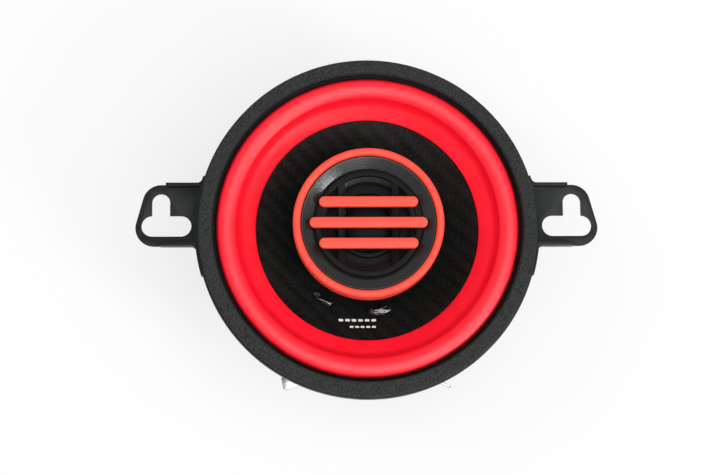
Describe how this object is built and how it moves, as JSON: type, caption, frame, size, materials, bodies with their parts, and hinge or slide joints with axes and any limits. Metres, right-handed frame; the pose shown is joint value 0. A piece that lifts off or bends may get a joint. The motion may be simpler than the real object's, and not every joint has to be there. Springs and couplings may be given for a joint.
{
  "type": "coaxial car speaker",
  "caption": "Small round two-way car speaker: woofer cone with a tweeter on a centre post, pressed basket with slotted mounting ears, ring magnet and blade terminals.",
  "frame": {"origin": "middle of the flat back face of the motor, on the speaker's axis", "axes": "+Z along the speaker's axis towards its front, +X towards one mounting ear, terminals on the -Y side"},
  "size_m": [0.1238, 0.0912, 0.0542],
  "materials": {
    "black_painted_steel": "semi-matt black paint over pressed steel",
    "plated_steel": "zinc-plated, satin",
    "ferrite": "ground, matt",
    "gasket_foam": "matt, fine crepe texture",
    "red_rubber": "satin",
    "carbon_paper": "black with a woven sheen, semi-gloss",
    "spider_cloth": "resin-dipped cotton, matt",
    "polyimide_film": "amber film",
    "copper_wire": "enamelled copper",
    "brass": "turned, satin",
    "tinned_brass": "tinned, bright satin",
    "satin_black_plastic": "satin",
    "black_plastic": "moulded, matt",
    "red_plastic": "satin coral red",
    "capacitor_case": "dipped film capacitor case",
    "dome_silk": "coated silk, matt",
    "fibre_board": "pressed brown fibre, matt",
    "black_glue": "glossy",
    "tinsel_braid": "woven tinsel over cotton",
    "black_wire": "satin insulation"
  },
  "bodies": {
    "chassis": {"basket": "black_painted_steel", "front_gasket": "gasket_foam", "back_plate_with_pole": "plated_steel", "magnet_ring": "ferrite", "top_plate": "plated_steel", "motor_rivet_1": "plated_steel", "motor_rivet_2": "plated_steel", "motor_rivet_3": "plated_steel", "motor_rivet_4": "plated_steel", "tweeter_post": "brass", "post_screw": "plated_steel", "post_washer": "plated_steel", "tweeter_housing": "black_plastic", "tweeter_cup": "plated_steel", "tweeter_magnet": "plated_steel", "tweeter_pole_washer": "plated_steel", "diaphragm_ring": "black_plastic", "crossover_capacitor": "capacitor_case", "tweeter_faceplate": "satin_black_plastic", "tweeter_bezel": "red_plastic", "guard_frame": "satin_black_plastic", "guard_bar_upper": "red_plastic", "guard_bar_middle": "red_plastic", "guard_bar_lower": "red_plastic", "terminal_board": "fibre_board", "board_rivet_left": "brass", "board_rivet_right": "brass", "positive_terminal": "tinned_brass", "negative_terminal": "tinned_brass", "positive_terminal_rivet": "brass", "negative_terminal_rivet": "brass"},
    "cone": {"cone": "carbon_paper", "surround": "red_rubber", "spider": "spider_cloth", "voice_coil_former": "polyimide_film", "voice_coil_winding": "copper_wire", "glue_dab_left": "black_glue", "glue_dab_right": "black_glue", "coil_lead_left": "copper_wire", "coil_lead_right": "copper_wire", "tinsel_lead_left": "tinsel_braid", "tinsel_lead_right": "tinsel_braid", "tweeter_lead_left": "black_wire", "tweeter_lead_right": "black_wire"},
    "tweeter_diaphragm": {"tweeter_dome": "dome_silk", "tweeter_dome_surround": "dome_silk", "tweeter_coil_former": "polyimide_film", "tweeter_coil_winding": "copper_wire"}
  },
  "joints": [
    {"name": "cone_travel", "type": "slide", "parent": "chassis", "child": "cone", "axis": [0, 0, 1], "range_m": [-0.0025, 0.0025], "stiffness_N_per_m": 1700, "deforming": ["surround", "spider", "tinsel_lead_left", "tinsel_lead_right", "tweeter_lead_left", "tweeter_lead_right"]},
    {"name": "tweeter_travel", "type": "slide", "parent": "chassis", "child": "tweeter_diaphragm", "axis": [0, 0, 1], "range_m": [-0.00025, 0.00025], "stiffness_N_per_m": 500, "deforming": ["tweeter_dome_surround"]}
  ]
}
